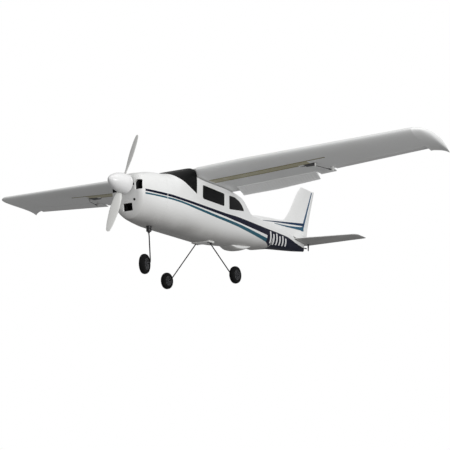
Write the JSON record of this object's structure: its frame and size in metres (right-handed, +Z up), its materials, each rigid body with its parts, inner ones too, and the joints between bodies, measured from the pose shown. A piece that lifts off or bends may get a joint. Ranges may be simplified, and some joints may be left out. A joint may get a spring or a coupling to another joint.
{
  "type": "rc foam airplane",
  "caption": "High-wing radio-control foam airplane with tricycle wire gear, moving control surfaces, flaps, steerable nose wheel and a lift-off windscreen hatch over its battery bay.",
  "frame": {"origin": "on the ground, under the middle of the bounding box", "axes": "+X forward to the nose, +Y to the left wing tip, +Z up"},
  "size_m": [1.1517, 1.412, 0.431],
  "materials": {
    "foam": "satin",
    "black_foam": "satin",
    "black_plastic": "satin",
    "white_plastic": "gloss",
    "tyre_rubber": "matte",
    "hub_plastic": "satin",
    "spring_steel": "satin",
    "motor_metal": "satin",
    "copper_windings": "satin",
    "plywood": "matte",
    "spar_fibre": "satin",
    "battery_wrap": "satin",
    "heat_shrink": "satin",
    "servo_case": "satin",
    "carbon_tube": "satin"
  },
  "bodies": {
    "airframe": {"fuselage_left": "foam", "fuselage_right": "foam", "nose_cowl": "foam", "side_window_front_left": "black_foam", "side_window_front_right": "black_foam", "side_window_rear_left": "black_foam", "side_window_rear_right": "black_foam", "wing_left": "foam", "wing_right": "foam", "spar_strip_front_left": "spar_fibre", "spar_strip_front_right": "spar_fibre", "spar_strip_rear_left": "spar_fibre", "spar_strip_rear_right": "spar_fibre", "wing_joiner_tube": "carbon_tube", "wing_bolt_left": "white_plastic", "wing_bolt_right": "white_plastic", "aileron_servo_left": "servo_case", "aileron_servo_right": "servo_case", "fin": "foam", "tailplane": "foam", "nose_gear_mount": "black_plastic", "main_gear_plate": "white_plastic", "main_gear_leg_left": "spring_steel", "main_gear_leg_right": "spring_steel", "motor_stator": "copper_windings", "firewall": "plywood", "battery": "battery_wrap", "speed_controller": "heat_shrink", "receiver": "black_plastic", "flap_servo": "servo_case", "elevator_servo": "servo_case", "rudder_servo": "servo_case"},
    "hatch": {"windscreen_hatch": "black_foam"},
    "propeller_unit": {"spinner": "white_plastic", "propeller": "white_plastic", "motor_bell": "motor_metal"},
    "nose_leg": {"nose_gear_leg": "spring_steel"},
    "nose_wheel": {"nose_wheel_tyre": "tyre_rubber", "nose_wheel_hub": "hub_plastic"},
    "main_wheel_left": {"main_wheel_left_tyre": "tyre_rubber", "main_wheel_left_hub": "hub_plastic"},
    "main_wheel_right": {"main_wheel_right_tyre": "tyre_rubber", "main_wheel_right_hub": "hub_plastic"},
    "elevator": {"elevator": "foam", "elevator_horn": "black_plastic"},
    "rudder": {"rudder": "foam"},
    "elevator_arm": {"elevator_servo_arm": "white_plastic"},
    "rudder_arm": {"rudder_servo_arm": "white_plastic"},
    "elevator_rod": {"elevator_pushrod": "spring_steel"},
    "rudder_rod": {"rudder_pushrod": "spring_steel"},
    "aileron_left": {"aileron_left": "foam"},
    "flap_left": {"flap_left": "foam", "flap_torque_rod_left": "spring_steel"},
    "aileron_arm_left": {"aileron_servo_arm_left": "white_plastic"},
    "aileron_rod_left": {"aileron_pushrod_left": "spring_steel"},
    "aileron_right": {"aileron_right": "foam"},
    "flap_right": {"flap_right": "foam", "flap_torque_rod_right": "spring_steel"},
    "aileron_arm_right": {"aileron_servo_arm_right": "white_plastic"},
    "aileron_rod_right": {"aileron_pushrod_right": "spring_steel"}
  },
  "joints": [
    {"name": "propeller_spin", "type": "hinge", "parent": "airframe", "child": "propeller_unit", "pos_m": [0.5225, 0, 0.219], "axis": [1, 0, 0], "continuous": true},
    {"name": "hatch_lift", "type": "slide", "parent": "airframe", "child": "hatch", "axis": [0.7071, 0, 0.7071], "range_m": [0, 0.12]},
    {"name": "rudder_hinge", "type": "hinge", "parent": "airframe", "child": "rudder", "pos_m": [-0.468, 0, 0.252], "axis": [-0.4592, 0, 0.8884], "range_deg": [-25, 25]},
    {"name": "nose_steer", "type": "hinge", "parent": "airframe", "child": "nose_leg", "pos_m": [0.409, 0, 0.13], "axis": [0, 0, 1], "range_deg": [-25, 25]},
    {"name": "nose_wheel_spin", "type": "hinge", "parent": "nose_leg", "child": "nose_wheel", "pos_m": [0.43122, 0.00595, 0.026], "axis": [-0.2588, 0.9659, 0], "continuous": true},
    {"name": "main_wheel_left_spin", "type": "hinge", "parent": "airframe", "child": "main_wheel_left", "pos_m": [0.165, 0.115, 0.024], "axis": [0, 1, 0], "continuous": true},
    {"name": "main_wheel_right_spin", "type": "hinge", "parent": "airframe", "child": "main_wheel_right", "pos_m": [0.165, -0.115, 0.024], "axis": [0, 1, 0], "continuous": true},
    {"name": "elevator_hinge", "type": "hinge", "parent": "airframe", "child": "elevator", "pos_m": [-0.482, 0, 0.229], "axis": [0, 1, 0], "range_deg": [-22, 22]},
    {"name": "aileron_left_hinge", "type": "hinge", "parent": "airframe", "child": "aileron_left", "pos_m": [0.149, 0.396, 0.30028], "axis": [0.0637, 0.9972, 0.0384], "range_deg": [-28, 12]},
    {"name": "aileron_right_hinge", "type": "hinge", "parent": "airframe", "child": "aileron_right", "pos_m": [0.149, -0.396, 0.30028], "axis": [-0.0637, 0.9972, -0.0384], "range_deg": [-12, 28]},
    {"name": "flap_left_hinge", "type": "hinge", "parent": "airframe", "child": "flap_left", "pos_m": [0.133, 0.1, 0.28891], "axis": [0, 0.9994, 0.0341], "range_deg": [-15, 25]},
    {"name": "flap_right_hinge", "type": "hinge", "parent": "airframe", "child": "flap_right", "pos_m": [0.133, -0.1, 0.28891], "axis": [0, 0.9994, -0.0341], "range_deg": [-15, 25]},
    {"name": "rudder_arm_turn", "type": "hinge", "parent": "airframe", "child": "rudder_arm", "pos_m": [0.046, -0.02, 0.1759], "axis": [0, 0, 1], "range_deg": [-33, 33]},
    {"name": "elevator_arm_turn", "type": "hinge", "parent": "airframe", "child": "elevator_arm", "pos_m": [0.046, 0.02, 0.1759], "axis": [0, 0, 1], "range_deg": [-34, 34]},
    {"name": "elevator_rod_slide", "type": "slide", "parent": "airframe", "child": "elevator_rod", "axis": [-0.9986, 0.0113, 0.0513], "range_m": [-0.009, 0.009]},
    {"name": "rudder_rod_slide", "type": "slide", "parent": "airframe", "child": "rudder_rod", "axis": [-0.989, -0.0227, 0.1461], "range_m": [-0.0085, 0.0085]},
    {"name": "aileron_arm_left_turn", "type": "hinge", "parent": "airframe", "child": "aileron_arm_left", "pos_m": [0.207, 0.3826, 0.29564], "axis": [0, 1, 0], "range_deg": [-42, 18]},
    {"name": "aileron_rod_left_slide", "type": "slide", "parent": "airframe", "child": "aileron_rod_left", "axis": [-1, 0, 0], "range_m": [-0.0078, 0.0034]},
    {"name": "aileron_arm_right_turn", "type": "hinge", "parent": "airframe", "child": "aileron_arm_right", "pos_m": [0.207, -0.3826, 0.29564], "axis": [0, 1, 0], "range_deg": [-18, 42]},
    {"name": "aileron_rod_right_slide", "type": "slide", "parent": "airframe", "child": "aileron_rod_right", "axis": [-1, 0, 0], "range_m": [-0.0034, 0.0078]}
  ],
  "couplings": [
    {"joint": "aileron_right_hinge", "follows": "aileron_left_hinge", "ratio": -1},
    {"joint": "flap_right_hinge", "follows": "flap_left_hinge", "ratio": 1},
    {"joint": "nose_steer", "follows": "rudder_hinge", "ratio": -1},
    {"joint": "rudder_arm_turn", "follows": "rudder_hinge", "ratio": -1.3},
    {"joint": "rudder_rod_slide", "follows": "rudder_hinge", "m_per_rad": -0.018},
    {"joint": "elevator_arm_turn", "follows": "elevator_hinge", "ratio": -1.5},
    {"joint": "elevator_rod_slide", "follows": "elevator_hinge", "m_per_rad": 0.021},
    {"joint": "aileron_arm_left_turn", "follows": "aileron_left_hinge", "ratio": 1.36},
    {"joint": "aileron_rod_left_slide", "follows": "aileron_left_hinge", "m_per_rad": 0.015},
    {"joint": "aileron_arm_right_turn", "follows": "aileron_left_hinge", "ratio": -1.36},
    {"joint": "aileron_rod_right_slide", "follows": "aileron_left_hinge", "m_per_rad": -0.015}
  ]
}
